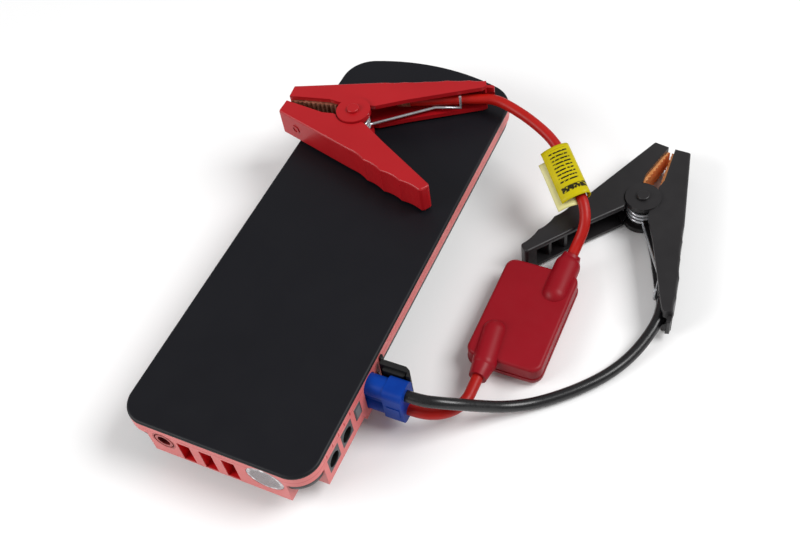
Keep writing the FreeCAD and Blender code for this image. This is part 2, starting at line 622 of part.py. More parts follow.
RIB_X, RIB_T = [-32.5, -39.5], 1.2
RING_AT, RING_WAY = (26.0, 12.0), (0.32, 0.9475)


def arm_prism(arm, shift, half):
    """An arm's outline, moved towards the other arm by a shift, extruded to both sides."""
    def at(point):
        return vec(point[0], point[1] - shift, -half)

    ridges = arm["ridges"]
    edges = []
    straight = [arm["inner"][-1]] + JAW_EDGE + [TIP_OUT, ridges[0]]
    for a, b in zip(straight, straight[1:]):
        edges.append(Part.LineSegment(at(a), at(b)).toShape())
    for a, b in zip(ridges, ridges[1:]):
        length = math.dist(a, b)
        dip_x = (a[0] + b[0]) / 2 + (b[1] - a[1]) / length * arm["scallop"]
        dip_y = (a[1] + b[1]) / 2 + (b[0] - a[0]) / length * arm["scallop"]
        edges.append(Part.Arc(at(a), at((dip_x, dip_y)), at(b)).toShape())
    closing = [ridges[-1]] + arm["inner"]
    for a, b in zip(closing, closing[1:]):
        edges.append(Part.LineSegment(at(a), at(b)).toShape())
    return Part.Face(Part.Wire(edges)).extrude(vec(0, 0, 2 * half))


def hub_rod(radius, z0, z1):
    """Round piece at the hub, on both sides of the clamp's middle plane."""
    return join([rod(radius, (0, 0, z0), (0, 0, z1)), rod(radius, (0, 0, -z0), (0, 0, -z1))])


def rounded_arm(arm, end_round):
    """Solid arm with its outer edges rounded, and the corners of its end if asked."""
    solid = arm_prism(arm, 0.0, ARM_HALF)
    if end_round:
        end_x = arm["ridges"][-2][0]
        corners = [e for e in solid.Edges if e.BoundBox.ZLength > ARM_HALF and e.BoundBox.XMax < end_x]
        solid = solid.makeFillet(end_round, corners)
    tip, root = TIP_OUT, arm["ridges"][-1]

    def outside(edge):
        middle = edge.CenterOfMass
        part = (middle.x - tip[0]) / (root[0] - tip[0])
        return middle.y > tip[1] + (root[1] - tip[1]) * part - 1.5 and edge.BoundBox.ZLength < 0.01

    return solid.makeFillet(EDGE_ROUND, [e for e in solid.Edges if outside(e)])


def arm_shell(arm, end_x, end_round):
    """U-channel arm: outer web and two flanges, open towards the other arm."""
    pocket = arm_prism(arm, OPEN_SHIFT, ARM_HALF - ARM_WALL)
    pocket = pocket.common(box(end_x, 31.4, -60, 60, -20, 20))
    return rounded_arm(arm, end_round).cut(pocket)


LUG_TOP, LUG_T = ARM_HALF - 1.9, 1.5


def make_free_arm():
    shell = arm_shell(FREE_ARM, -46.6, END_ROUND)
    half = ARM_HALF - ARM_WALL + 0.1
    filling = arm_prism(FREE_ARM, -2.0, half).common(arm_prism(FREE_ARM, 0.2, half))
    slices = join([box(x, x + RIB_T, 0, 60, -half, half) for x in RIB_X])
    x, y = RING_AT
    ring = [rod(r, (x, y, 0), (x + RING_WAY[0] * 0.4, y + RING_WAY[1] * 0.4, 0)) for r in (2.2, 1.5)]
    foot = rod(2.2, (x - RING_WAY[0], y - RING_WAY[1], 0), (x, y, 0))
    arm = join([shell, filling.common(slices), foot, ring[0].cut(ring[1])])
    arm = arm.cut(hub_rod(DISC_R + 0.4, LUG_TOP, ARM_HALF + 1))
    lugs = hub_rod(6.2, LUG_TOP - LUG_T, LUG_TOP)
    roots = hub_rod(10.5, LUG_TOP - LUG_T, LUG_TOP).common(arm_prism(FREE_ARM, 0.0, ARM_HALF))
    return join([arm, lugs, roots]).cut(rod(PIVOT_R + 0.05, (0, 0, -10), (0, 0, 10)))


def mirror(shape):
    return shape.mirror(vec(0, 0, 0), vec(0, 1, 0))


def make_cable_arm():
    lip = prism(CABLE_LIP, -4.4, 4.4)
    lip = lip.makeFillet(0.7, [e for e in lip.Edges if e.BoundBox.XMax < -56.0])
    arm = mirror(join([arm_shell(CABLE_ARM, -70.0, 0.0), lip]))
    arm = arm.cut(rod(DISC_R + 0.4, (0, 0, -LUG_TOP - 0.3), (0, 0, LUG_TOP + 0.3)))
    discs = hub_rod(DISC_R, LUG_TOP + 0.3, ARM_HALF + DISC_PROUD)
    (x, y), (way_x, way_y) = CORD_SEAT, SEAT_WAY
    seat = rod(CORD_R + 0.45, (x + 8 * way_x, y + 8 * way_y, 0), (x - 16 * way_x, y - 16 * way_y, 0))
    return join([arm, discs]).cut(rod(PIVOT_R, (0, 0, -10), (0, 0, 10))).cut(seat)


def make_pivot_pin():
    shaft = rod(PIVOT_R, (0, 0, -ARM_HALF - DISC_PROUD), (0, 0, ARM_HALF + DISC_PROUD))
    head = rod(PIN_HEAD_R, (0, 0, ARM_HALF + DISC_PROUD), (0, 0, ARM_HALF + DISC_PROUD + PIN_HEAD_T))
    head = head.makeFillet(0.5, edges_at(head, ARM_HALF + DISC_PROUD + PIN_HEAD_T))
    return join([shaft, head])


JAW_FROM, JAW_TO, TEETH, TOOTH = (33.6, 0.4), (11.2, 3.2), 10, 0.9
JAW_HALF_W = 4.8


def make_jaw():
    """Toothed copper strip of the free arm's jaw."""
    points = []
    for i in range(TEETH + 1):
        part = i / TEETH
        x = JAW_FROM[0] + (JAW_TO[0] - JAW_FROM[0]) * part
        y = JAW_FROM[1] + (JAW_TO[1] - JAW_FROM[1]) * part
        points.append((x, y))
        if i < TEETH:
            points.append((x - 1.1, y + TOOTH))
    points += [(10.0, 6.4), (11.6, 6.8), (31.3, 3.6), (31.3, 1.5 + 0.45), (33.6, 1.5)]
    return prism(points, -JAW_HALF_W, JAW_HALF_W)


# where the cord crosses the cable arm's mouth and its direction there, and the crimp at its end
CORD_SEAT, SEAT_WAY = (-43.6, -27.85), (0.953, 0.304)
CRIMP_START, CRIMP_END = (-20.0, -20.35, 0.0), (-14.24, -18.66, 0.0)
CRIMP_R = 2.8
SPRING_R, SPRING_BORE, SPRING_HALF = 7.1, 5.8, 3.5
WIRE_R = 0.65
CABLE_LEG = [(-4.47, 4.65, 1.9), (-32.0, -21.8, -2.7), (-44.1, -24.35, -2.0)]
FREE_LEG = [(-5.42, -3.5, -2.8), (-14.65, 10.8, -2.8)]
BAR_TOP = 4.9


def make_spring():
    """Torsion spring round the pivot; the leg in the cable arm ends in an upright bar."""
    coil = rod(SPRING_R, (0, 0, -SPRING_HALF), (0, 0, SPRING_HALF))
    coil = coil.cut(rod(SPRING_BORE, (0, 0, -SPRING_HALF - 1), (0, 0, SPRING_HALF + 1)))
    wires = []
    for leg in (CABLE_LEG, FREE_LEG):
        for start, end in zip(leg, leg[1:]):
            wires += [rod(WIRE_R, start, end), Part.makeSphere(WIRE_R, vec(*end))]
    x, y, foot = CABLE_LEG[-1]
    return join([coil, rod(WIRE_R, (x, y, foot), (x, y, BAR_TOP))] + wires)


def make_cable_crimp():
    return rod(CRIMP_R, CRIMP_START, CRIMP_END)


def place_clamp(shape, hub, turn):
    placed = shape.copy()
    spot = FreeCAD.Placement(vec(*hub), FreeCAD.Rotation(vec(0, 0, 1), turn))
    placed.Placement = spot.multiply(placed.Placement)
    return placed


def save_clamp(name, hub, turn):
    pieces = {
        "cable_arm": make_cable_arm(), "free_arm": make_free_arm(), "cable_jaw": mirror(make_jaw()),
        "free_jaw": make_jaw(), "pivot_pin": make_pivot_pin(), "spring": make_spring(),
        "cable_crimp": make_cable_crimp()}
    for piece, shape in pieces.items():
        save(f"{name}_{piece}", place_clamp(shape, hub, turn))


os.makedirs("parts", exist_ok=True)
save("top_cover", make_top_cover())
save("band_frame", make_band_frame())
save("bottom_shell", make_bottom_shell())
save("case_screws", *make_screws())
for number in range(3):
    save(f"cell_{number + 1}", make_cell(number))
save("cell_tabs", *make_cell_tabs())
save("foam_bottom", box(-CELL_X, CELL_X, *CELL_Y, FLOOR_T, CELL_Z0))
save("foam_top", box(-CELL_X, CELL_X, *CELL_Y, CELL_Z0 + 2 * CELL_PITCH + CELL_T, BAND_Z1))
save("main_board", make_main_board())
save("board_components", *make_board_components())
for number, place in enumerate(USB_X, 1):
    save(f"usb_socket_{number}", make_usb_socket(place))
    save(f"usb_tongue_{number}", make_usb_tongue(place))
save("charge_inlet", make_charge_inlet())
save("inlet_pin", make_inlet_pin())
save("torch_lens", make_torch_lens())
save("torch_reflector", make_torch_reflector())
save("torch_led", make_torch_led())
for number, place in enumerate(JACK_Y, 1):
    save(f"output_jack_{number}", make_output_jack(place))
save("jack_pins", *make_jack_pins())
save("power_button", make_power_button())
save("button_switch", make_button_switch())
save("level_windows", *make_level_windows())
save("level_board", box(34.1, 35.1, -102.0, -70.0, 24.4, 28.2))
save("level_leds", *make_level_leds())
save("jump_socket", make_jump_socket())
save("jump_pins", *make_jump_pins())
save("cap_strap", make_cap_strap())
save("socket_cap", make_socket_cap())
save("plug_housing", make_plug_housing())
save("plug_contacts", *make_plug_contacts())
save("bus_bars", *make_bus_bars())
save("black_cord", make_cord("black_cord", BLACK_ROUTE))
save("red_cord_short", make_cord("red_cord_short", RED_SHORT_ROUTE))
save("red_cord_long", make_cord("red_cord_long", RED_LONG_ROUTE))
save("cable_tag", make_cable_tag(cord_path("tag path", RED_LONG_ROUTE)))
save("module_base", make_module_base())
save("module_top", make_module_top())
save("module_board", make_module_board())
save_clamp("red", RED_HUB, RED_TURN)
save_clamp("black", BLACK_HUB, BLACK_TURN)
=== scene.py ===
import math

import bmesh
import bpy
from mathutils import Matrix, Vector


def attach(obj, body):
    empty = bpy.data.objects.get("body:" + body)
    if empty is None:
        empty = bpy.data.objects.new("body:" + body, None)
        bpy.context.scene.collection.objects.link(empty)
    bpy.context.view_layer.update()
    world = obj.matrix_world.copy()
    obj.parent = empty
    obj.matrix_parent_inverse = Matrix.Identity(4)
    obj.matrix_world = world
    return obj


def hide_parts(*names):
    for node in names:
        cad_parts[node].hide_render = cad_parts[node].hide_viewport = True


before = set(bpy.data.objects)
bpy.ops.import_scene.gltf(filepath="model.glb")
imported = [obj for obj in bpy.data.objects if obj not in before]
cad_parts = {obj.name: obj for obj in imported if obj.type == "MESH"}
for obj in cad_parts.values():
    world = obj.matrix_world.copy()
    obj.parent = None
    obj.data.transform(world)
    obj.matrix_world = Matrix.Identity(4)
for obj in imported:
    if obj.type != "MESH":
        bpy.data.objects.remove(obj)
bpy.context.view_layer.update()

scene = bpy.context.scene

# Lengths are metres unless a comment says otherwise.


# ---- camera ---------------------------------------------------------------------------------
SENSOR_MM, LENS_MM = 36.0, 46.9
CAMERA_PLACE = (0.18446, -0.24396, 0.38012)
CAMERA_TURN = (38.0445, 6.5102, 24.3285)   # degrees

camera_data = bpy.data.cameras.new("camera")
camera_data.sensor_width = SENSOR_MM
camera_data.lens = LENS_MM
camera_data.clip_start = 0.01
camera = bpy.data.objects.new("camera", camera_data)
scene.collection.objects.link(camera)
camera.location = CAMERA_PLACE
camera.rotation_euler = [math.radians(angle) for angle in CAMERA_TURN]
scene.camera = camera
scene.view_settings.view_transform = "Standard"


# ---- cords ----------------------------------------------------------------------------------
CORD_D = 0.005
BLACK_ROUTE = [
    (0.0605, -0.0626, 0.0228), (0.0668, -0.0626, 0.0228), (0.0737, -0.0605, 0.0219),
    (0.0802, -0.0567, 0.0185), (0.0867, -0.0517, 0.0131), (0.0945, -0.0454, 0.0068),
    (0.1031, -0.0388, 0.0034), (0.1116, -0.0319, 0.0028), (0.1205, -0.0234, 0.0027),
    (0.1285, -0.0138, 0.0027), (0.1347, -0.0032, 0.0032), (0.1390, 0.0076, 0.0054),
    (0.1416, 0.0191, 0.00825), (0.13839, 0.03581, 0.00825), (0.13653, 0.04408, 0.00825),
    (0.13512, 0.05229, 0.00825)]
RED_SHORT_ROUTE = [
    (0.0605, -0.0626, 0.0124), (0.0654, -0.0626, 0.0124), (0.0707, -0.0611, 0.0120),
    (0.07525, -0.05805, 0.0113), (0.0786, -0.0537, 0.0106), (0.08035, -0.0485, 0.0101),
    (0.08035, -0.0430, 0.0100), (0.08035, -0.0376, 0.0100)]
RED_LONG_ROUTE = [
    (0.0968, 0.0356, 0.0115), (0.0975, 0.0405, 0.0140), (0.0985, 0.0450, 0.0180),
    (0.0980, 0.0500, 0.0220), (0.0945, 0.0565, 0.0255), (0.0880, 0.0635, 0.0260),
    (0.0815, 0.0720, 0.0285), (0.0725, 0.0810, 0.0320), (0.0610, 0.0865, 0.0350),
    (0.0495, 0.0905, 0.0370), (0.0395, 0.0925, 0.0385), (0.0314, 0.09032, 0.03855),
    (0.01685, 0.08505, 0.03855), (0.00898, 0.0819, 0.03855), (0.00109, 0.0792, 0.03855)]


def round_line(name, kind, points, radius):
    """Curve of one open spline with a round section. Its points carry the radius, not the bevel
    depth, because a curve's bounds reach a point's radius beyond it."""
    data = bpy.data.curves.new(name, "CURVE")
    data.dimensions = "3D"
    data.bevel_depth = 1.0
    data.bevel_resolution = 6
    data.use_fill_caps = True
    data.resolution_u = 16
    spline = data.splines.new(kind)
    spline.points.add(len(points) - 1)
    for slot, point in zip(spline.points, points):
        slot.co = (*point, 1.0)
        slot.radius = radius
    if kind == "NURBS":
        spline.order_u = 3
        spline.use_endpoint_u = True
    curve = bpy.data.objects.new(name, data)
    scene.collection.objects.link(curve)
    return curve


def lay_cord(name, points, node):
    cord = round_line(name, "NURBS", points, CORD_D / 2)
    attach(cord, "lead")
    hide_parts(node)
    return cord


# ---- label on the long red cord ---------------------------------------------------------------
TAG_START, TAG_END = Vector((0.0771, 0.0779, 0.0322)), Vector((0.0946, 0.0573, 0.0266))
TAG_ALONG = (TAG_END - TAG_START).normalized()
TAG_ASIDE = Vector((0, 0, 1)).cross(TAG_ALONG).normalized() * -1.0
TAG_UP = -TAG_ALONG.cross(TAG_ASIDE).normalized()
TAG_T = 0.0003

# each leaf's cross-section, as millimetres sideways and up from the cord's middle
TAG_FRONT = [(-2.3, -2.1), (-3.1, -0.4), (-3.0, 1.4), (-1.8, 2.9), (0.4, 3.3), (3.2, 3.0),
             (6.0, 2.1), (8.4, 0.8), (10.0, -0.8)]
TAG_BACK = [(-1.0, -3.0), (1.4, -3.0), (4.0, -1.6), (7.0, -1.3), (9.6, -2.0), (12.4, -3.4)]
LEAF_ROWS = 16                             # faces along the label
PROFILE_STEPS = 6                          # faces between two points of a cross-section
SMOOTHING_PASSES = 8
RIPPLE_MM, RIPPLE_REACH_MM = 0.25, 10      # rise of the film, and how far out it has that rise
RIPPLE_PHASE = 5.1                         # radians over the label's length


def leaf(name, profile, lead_in, lead_out):
    """Thin film swept along the label's length from a cross-section in millimetres."""
    start = TAG_START + TAG_ALONG * lead_in
    length = (TAG_END - TAG_START).length - lead_in + lead_out
    section = []
    for (x0, z0), (x1, z1) in zip(profile, profile[1:]):
        for k in range(PROFILE_STEPS):
            section.append((x0 + (x1 - x0) * k / PROFILE_STEPS, z0 + (z1 - z0) * k / PROFILE_STEPS))
    section.append(profile[-1])
    for _ in range(SMOOTHING_PASSES):
        inner = [tuple((a[i] + 2 * b[i] + c[i]) / 4 for i in (0, 1))
                 for a, b, c in zip(section, section[1:], section[2:])]
        section = [section[0]] + inner + [section[-1]]
    mesh = bmesh.new()
    grid = []
    for row in range(LEAF_ROWS + 1):
        part = row / LEAF_ROWS
        ripple = RIPPLE_MM * math.sin(part * RIPPLE_PHASE)
        grid.append([])
        for x, z in section:
            height = (z + ripple * max(0.0, x / RIPPLE_REACH_MM)) / 1000
            place = start + TAG_ALONG * length * part + TAG_ASIDE * (x / 1000) + TAG_UP * height
            grid[-1].append(mesh.verts.new(place))
    for low, high in zip(grid, grid[1:]):
        for corners in zip(low, low[1:], high[1:], high):
            mesh.faces.new(corners)
    data = bpy.data.meshes.new(name)
    mesh.to_mesh(data)
    mesh.free()
    for polygon in data.polygons:
        polygon.use_smooth = True
    piece = bpy.data.objects.new(name, data)
    scene.collection.objects.link(piece)
    film = piece.modifiers.new("film", "SOLIDIFY")
    film.thickness = TAG_T
    film.offset = 1.0
    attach(piece, "lead")
    return piece


# the label's leaves are made before the cords
tag_front = leaf("label_front", TAG_FRONT, lead_in=0.0, lead_out=0.0)
tag_back = leaf("label_back", TAG_BACK, lead_in=0.004, lead_out=0.002)
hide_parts("cable_tag")
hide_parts("cable_tag")
black_cord = lay_cord("black_lead", BLACK_ROUTE, "black_cord")
red_short = lay_cord("red_lead_short", RED_SHORT_ROUTE, "red_cord_short")
red_long = lay_cord("red_lead_long", RED_LONG_ROUTE, "red_cord_long")


# ---- clamp springs ----------------------------------------------------------------------------
# where each clamp's pivot is, and its turn about the upright axis in degrees
CLAMPS = {"red": ((-0.018, 0.058, 0.03855), -177.5),
          "black": ((0.1172, 0.0745, 0.00825), 83.4)}
COIL_R, WIRE_R = 0.0064, 0.00065
# the coil and the leg are laid out from the pivot, in the clamp's own frame
COIL_FROM, COIL_TO = math.radians(208), math.radians(30 - 2 * 360)
COIL_Z = (-0.0026, 0.0029)
COIL_STEPS = 96
CABLE_LEG = [(-0.0441, -0.02435, 0.0048), (-0.0441, -0.02435, -0.0020),
             (-0.0320, -0.0218, -0.0026), (-0.0074, -0.0039, -0.0026)]


def in_clamp(name, point):
    hub, turn = CLAMPS[name]
    return Matrix.Rotation(math.radians(turn), 4, "Z") @ Vector(point) + Vector(hub)


def make_spring(name):
    """Wire torsion spring: an upright bar, the leg in the cable arm and the coil at the pivot."""
    points = list(CABLE_LEG)
    for i in range(COIL_STEPS + 1):
        part = i / COIL_STEPS
        angle = COIL_FROM + (COIL_TO - COIL_FROM) * part
        height = COIL_Z[0] + (COIL_Z[1] - COIL_Z[0]) * part
        points.append((COIL_R * math.cos(angle), COIL_R * math.sin(angle), height))
    wire = round_line(f"{name}_spring_wire", "POLY", [in_clamp(name, point) for point in points],
                      WIRE_R)
    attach(wire, "lead")
    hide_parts(f"{name}_spring")
    return wire


springs = {name: make_spring(name) for name in CLAMPS}


# ---- shader parts -----------------------------------------------------------------------------
def shader(name):
    material = bpy.data.materials.new(name)
    material.use_nodes = True
    nodes, links = material.node_tree.nodes, material.node_tree.links
    return material, nodes, links, nodes["Principled BSDF"]


def ramp_up(nodes, links, value, start, end, low=0.0, high=1.0):
    spread = nodes.new("ShaderNodeMapRange")
    spread.inputs["From Min"].default_value = start
    spread.inputs["From Max"].default_value = end
    spread.inputs["To Min"].default_value = low
    spread.inputs["To Max"].default_value = high
    links.new(value, spread.inputs["Value"])
    return spread.outputs["Result"]


def combine(nodes, links, operation, *values):
    math_node = nodes.new("ShaderNodeMath")
    math_node.operation = operation
    for slot, value in zip(math_node.inputs, values):
        if isinstance(value, float):
            slot.default_value = value
        else:
            links.new(value, slot)
    return math_node.outputs["Value"]


def in_box(*spans, soft=0.00008):
    """Mask that is 1 inside an axis-aligned box; a span of None leaves its axis free."""
    def build(nodes, links, axes):
        mask = None
        for axis, span in zip(axes, spans):
            if span is None:
                continue
            rise = ramp_up(nodes, links, axis, span[0] - soft, span[0] + soft)
            fall = ramp_up(nodes, links, axis, span[1] - soft, span[1] + soft, 1.0, 0.0)
            here = combine(nodes, links, "MULTIPLY", rise, fall)
            mask = here if mask is None else combine(nodes, links, "MULTIPLY", mask, here)
        return mask
    return build


# torch lens: its middle and half size along x and z
LENS_MIDDLE, LENS_HALF = (0.0235, 0.0212), (0.0085, 0.0072)
RIM_FADE = (0.58, 0.70)                    # squared share of the half size where the rim fades in
FACETS_PER_M = 420.0
GLINT_FADE = (0.55, 0.1, 0.15, 1.0)        # distance to a facet's middle, dim to bright, for the painted glints


def lens_rim_glints(nodes, links, axes):
    """Mask of the torch lens's outer rim: an oval ring of painted glints, bright facets that stand
    in for highlights.
    """
    shares = []
    for axis, middle, half in zip((axes[0], axes[2]), LENS_MIDDLE, LENS_HALF):
        offset = combine(nodes, links, "SUBTRACT", axis, middle)
        shares.append(combine(nodes, links, "MULTIPLY", offset, 1 / half))
    squares = [combine(nodes, links, "MULTIPLY", share, share) for share in shares]
    ring = ramp_up(nodes, links, combine(nodes, links, "ADD", *squares), *RIM_FADE)
    place = nodes.new("ShaderNodeTexCoord")
    facets = nodes.new("ShaderNodeTexVoronoi")
    facets.inputs["Scale"].default_value = FACETS_PER_M
    links.new(place.outputs["Object"], facets.inputs["Vector"])
    glint = ramp_up(nodes, links, facets.outputs["Distance"], *GLINT_FADE)
    return combine(nodes, links, "MULTIPLY", ring, glint)


# print on the label, as spans along it and aside of the cord's middle
ROW_PITCH, ROW_FADE = 0.0019, (0.50, 0.62)
SMALL_PRINT = ((0.0018, 0.0195), (-0.0006, 0.0078))
HEAVY_PRINT = ((0.0212, 0.0240), (-0.0030, 0.0085))
WORDS_PER_M, WORD_FADE = 900.0, (0.36, 0.46)


def print_rows(nodes, links, axes):
    """Mask of short printed bars in rows across the label, with gaps between words."""
    distance = []
    for way in (TAG_ALONG, TAG_ASIDE):
        total = combine(nodes, links, "MULTIPLY", axes[0], way.x)
        for axis, share in ((axes[1], way.y), (axes[2], way.z)):
            total = combine(nodes, links, "ADD", total,
                            combine(nodes, links, "MULTIPLY", axis, share))
        distance.append(combine(nodes, links, "SUBTRACT", total, float(TAG_START.dot(way))))
    line = combine(nodes, links, "FRACT",
                   combine(nodes, links, "MULTIPLY", distance[0], 1 / ROW_PITCH))
    bar = ramp_up(nodes, links, line, *ROW_FADE)
    small = in_box(*SMALL_PRINT, soft=0.0003)(nodes, links, distance)
    rows = combine(nodes, links, "MULTIPLY", bar, small)
    heavy = in_box(*HEAVY_PRINT, soft=0.0002)(nodes, links, distance)
    place = nodes.new("ShaderNodeCombineXYZ")
    links.new(distance[0], place.inputs["X"])
    links.new(distance[1], place.inputs["Y"])
    words = nodes.new("ShaderNodeTexNoise")
    words.inputs["Scale"].default_value = WORDS_PER_M
    links.new(place.outputs["Vector"], words.inputs["Vector"])
    gaps = ramp_up(nodes, links, words.outputs["Fac"], *WORD_FADE)
    return combine(nodes, links, "MULTIPLY", combine(nodes, links, "MAXIMUM", rows, heavy), gaps)


NOISE_SPAN = (0.3, 0.7)    # noise values between which a colour or a roughness goes end to end
ROUGH_FINER = 6.0          # times finer than the colour's drift


def surface(name, low, high, rough=(0.35, 0.5), coarse=60.0, fine=2600.0, relief=0.00002,
            strength=0.25, metallic=0.0, coat=0.0, stretch=(1.0, 1.0, 1.0), specular=0.5,
            sheen=0.0, marks=()):
    """Moulded or metal surface: colour that drifts from low to high, fine grain relief, uneven
    roughness and painted marks, each a mask and its colour."""
    material, nodes, links, bsdf = shader(name)
    place = nodes.new("ShaderNodeTexCoord")
    mapping = nodes.new("ShaderNodeMapping")
    mapping.inputs["Scale"].default_value = stretch
    links.new(place.outputs["Object"], mapping.inputs["Vector"])

    def noise(scale, detail):
        texture = nodes.new("ShaderNodeTexNoise")
        texture.inputs["Scale"].default_value = scale
        texture.inputs["Detail"].default_value = detail
        links.new(mapping.outputs["Vector"], texture.inputs["Vector"])
        return texture.outputs["Fac"]

    ramp = nodes.new("ShaderNodeValToRGB")
    for element, position, tint in zip(ramp.color_ramp.elements, NOISE_SPAN, (low, high)):
        element.position = position
        element.color = (*tint, 1.0)
    links.new(noise(coarse, detail=4.0), ramp.inputs["Fac"])
    colour = ramp.outputs["Color"]
    split = nodes.new("ShaderNodeSeparateXYZ")
    links.new(place.outputs["Object"], split.inputs["Vector"])
    axes = [split.outputs[axis] for axis in "XYZ"]
    for mask, tint in marks:
        mix = nodes.new("ShaderNodeMix")
        mix.data_type = "RGBA"
        links.new(mask(nodes, links, axes), mix.inputs["Factor"])
        links.new(colour, mix.inputs["A"])
        mix.inputs["B"].default_value = (*tint, 1.0)
        colour = mix.outputs["Result"]
    links.new(colour, bsdf.inputs["Base Color"])
    unevenness = noise(coarse * ROUGH_FINER, detail=3.0)
    links.new(ramp_up(nodes, links, unevenness, *NOISE_SPAN, *rough), bsdf.inputs["Roughness"])
    bump = nodes.new("ShaderNodeBump")
    bump.inputs["Strength"].default_value = strength
    bump.inputs["Distance"].default_value = relief
    links.new(noise(fine, detail=2.0), bump.inputs["Height"])
    links.new(bump.outputs["Normal"], bsdf.inputs["Normal"])
    bsdf.inputs["Metallic"].default_value = metallic
    bsdf.inputs["Coat Weight"].default_value = coat
    bsdf.inputs["Specular IOR Level"].default_value = specular
    bsdf.inputs["Sheen Weight"].default_value = sheen
    return material


# ---- materials --------------------------------------------------------------------------------
# boxes that the marks fill, as spans along x, y and z
# band round the top of the cover's rounded edge, lighter as a painted sheen
COVER_EDGE_SHEEN = (None, None, (0.02855, 0.0294))
# insides of the USB slots, painted deep red as shade in the recesses
USB_SLOT_SHADE = ((-0.0172, 0.0104), (-0.1147, -0.1088), (0.0103, 0.0240))
# side panel round the jump plug, painted deep red as the plug's shadow on it
PLUG_SHADOW_ON_PANEL = ((0.0330, 0.0437), (-0.0690, -0.0562), (0.0065, 0.0280))
BAND_LINE = (None, None, (0.0254, 0.0257))
# inside the inlet's hole, behind its face: painted near-black shade
INLET_HOLE_SHADE = (None, (-0.1148, -0.0900), None)
# inside the output jacks' holes, behind their faces: painted near-black shade
JACK_HOLE_SHADE = ((0.0250, 0.0436), None, None)
BUTTON_MARK = (None, (-0.0760, -0.0726), (0.0167, 0.0229))
# deep red painted on the band frame where it lies in shade
SHADE_RED = (0.58, 0.004, 0.006)

# the cover's edge band is a painted sheen, a touch lighter than the cover
cover_black = surface(
    "soft_touch_black", (0.0052, 0.0053, 0.0076), (0.0064, 0.0065, 0.0092), (0.42, 0.5), 14.0,
    3500.0, specular=0.22, marks=[(in_box(*COVER_EDGE_SHEEN), (0.0065, 0.0105, 0.0105))])
shell_black = surface(
    "textured_black", (0.010, 0.012, 0.013), (0.015, 0.017, 0.018), (0.42, 0.55), 50.0, 1800.0,
    relief=0.00004, strength=0.5, specular=0.35)
# the band frame's deep red marks are painted shade: inside the USB slots, and the plug's shadow on
# the side panel
coral = surface(
    "coral_plastic", (0.59, 0.132, 0.126), (0.65, 0.150, 0.142), (0.36, 0.46), 45.0, 2600.0,
    marks=[(in_box(*USB_SLOT_SHADE), SHADE_RED), (in_box(*PLUG_SHADOW_ON_PANEL), SHADE_RED),
           (in_box(*BAND_LINE), (0.45, 0.055, 0.055))])
# the inlet is darker than the band's coral as painted shade of its recessed bowl, and its hole is
# painted darker still as shade
shaded_inlet = surface(
    "inlet_coral_shaded", (0.34, 0.050, 0.045), (0.41, 0.066, 0.060), (0.34, 0.44), 45.0, 2600.0,
    marks=[(in_box(*INLET_HOLE_SHADE), (0.10, 0.004, 0.004))])
window_red = surface(
    "window_red", (0.46, 0.016, 0.018), (0.52, 0.024, 0.026), (0.2, 0.3), 200.0, 2600.0)
# the output jacks' holes are painted near black as shade
grey = surface(
    "grey_plastic", (0.036, 0.041, 0.043), (0.046, 0.052, 0.054), (0.4, 0.5), 120.0, 2600.0,
    marks=[(in_box(*JACK_HOLE_SHADE), (0.004, 0.004, 0.004))])
button_grey = surface(
    "button_grey", (0.040, 0.043, 0.046), (0.050, 0.054, 0.057), (0.4, 0.5), 120.0, 2600.0,
    marks=[(in_box(*BUTTON_MARK), (0.125, 0.128, 0.134))])
clamp_red = surface(
    "clamp_red", (0.36, 0.0045, 0.008), (0.41, 0.0065, 0.011), (0.30, 0.42), 22.0, 1500.0,
    relief=0.00003, coat=0.05, specular=0.35)
module_red = surface(
    "module_red", (0.22, 0.0020, 0.007), (0.26, 0.0030, 0.010), (0.36, 0.48), 30.0, 1500.0,
    relief=0.00003, specular=0.22)
cord_red = surface(
    "silicone_red", (0.35, 0.0045, 0.002), (0.40, 0.0065, 0.003), (0.36, 0.46), 120.0, 2200.0,
    specular=0.28)
cord_black = surface(
    "silicone_black", (0.005, 0.005, 0.006), (0.009, 0.009, 0.010), (0.24, 0.34), 120.0, 2200.0)
clamp_black = surface(
    "clamp_black", (0.013, 0.012, 0.013), (0.018, 0.0165, 0.0175), (0.34, 0.44), 30.0, 1500.0,
    relief=0.00003, strength=0.35, specular=0.4)
plug_blue = surface(
    "plug_blue", (0.0008, 0.030, 0.24), (0.0014, 0.042, 0.30), (0.36, 0.46), 120.0, 2400.0,
    specular=0.14)
rubber = surface(
    "cap_rubber", (0.005, 0.005, 0.005), (0.010, 0.010, 0.010), (0.5, 0.65), 120.0, 2000.0,
    specular=0.35)
copper = surface(
    "copper", (0.88, 0.31, 0.09), (1.0, 0.46, 0.19), (0.25, 0.40), 400.0, 1800.0, metallic=0.45)
# darker, browner copper for the red clamp's jaws: painted shade inside the jaws
copper_in_shade = surface(
    "copper_in_shade", (0.22, 0.075, 0.035), (0.62, 0.30, 0.20), (0.25, 0.40), 500.0, 1800.0,
    metallic=0.6)
zinc = surface(
    "zinc", (0.58, 0.60, 0.63), (0.74, 0.76, 0.79), (0.15, 0.3), 500.0, 2500.0, metallic=0.65)
steel = surface(
    "socket_steel", (0.05, 0.05, 0.052), (0.09, 0.09, 0.092), (0.3, 0.45), 300.0, 2500.0,
    metallic=1.0, stretch=(1.0, 0.1, 1.0))
gold = surface(
    "contact_gold", (0.7, 0.48, 0.16), (0.85, 0.62, 0.25), (0.18, 0.3), 500.0, 2500.0, metallic=1.0)
dark_steel = surface(
    "screw_black_zinc", (0.12, 0.12, 0.13), (0.2, 0.2, 0.21), (0.3, 0.45), 500.0, 3000.0,
    metallic=1.0)
inner_black = surface(
    "socket_black", (0.006, 0.006, 0.006), (0.010, 0.010, 0.010), (0.5, 0.65), 150.0, 2500.0,
    specular=0.3)
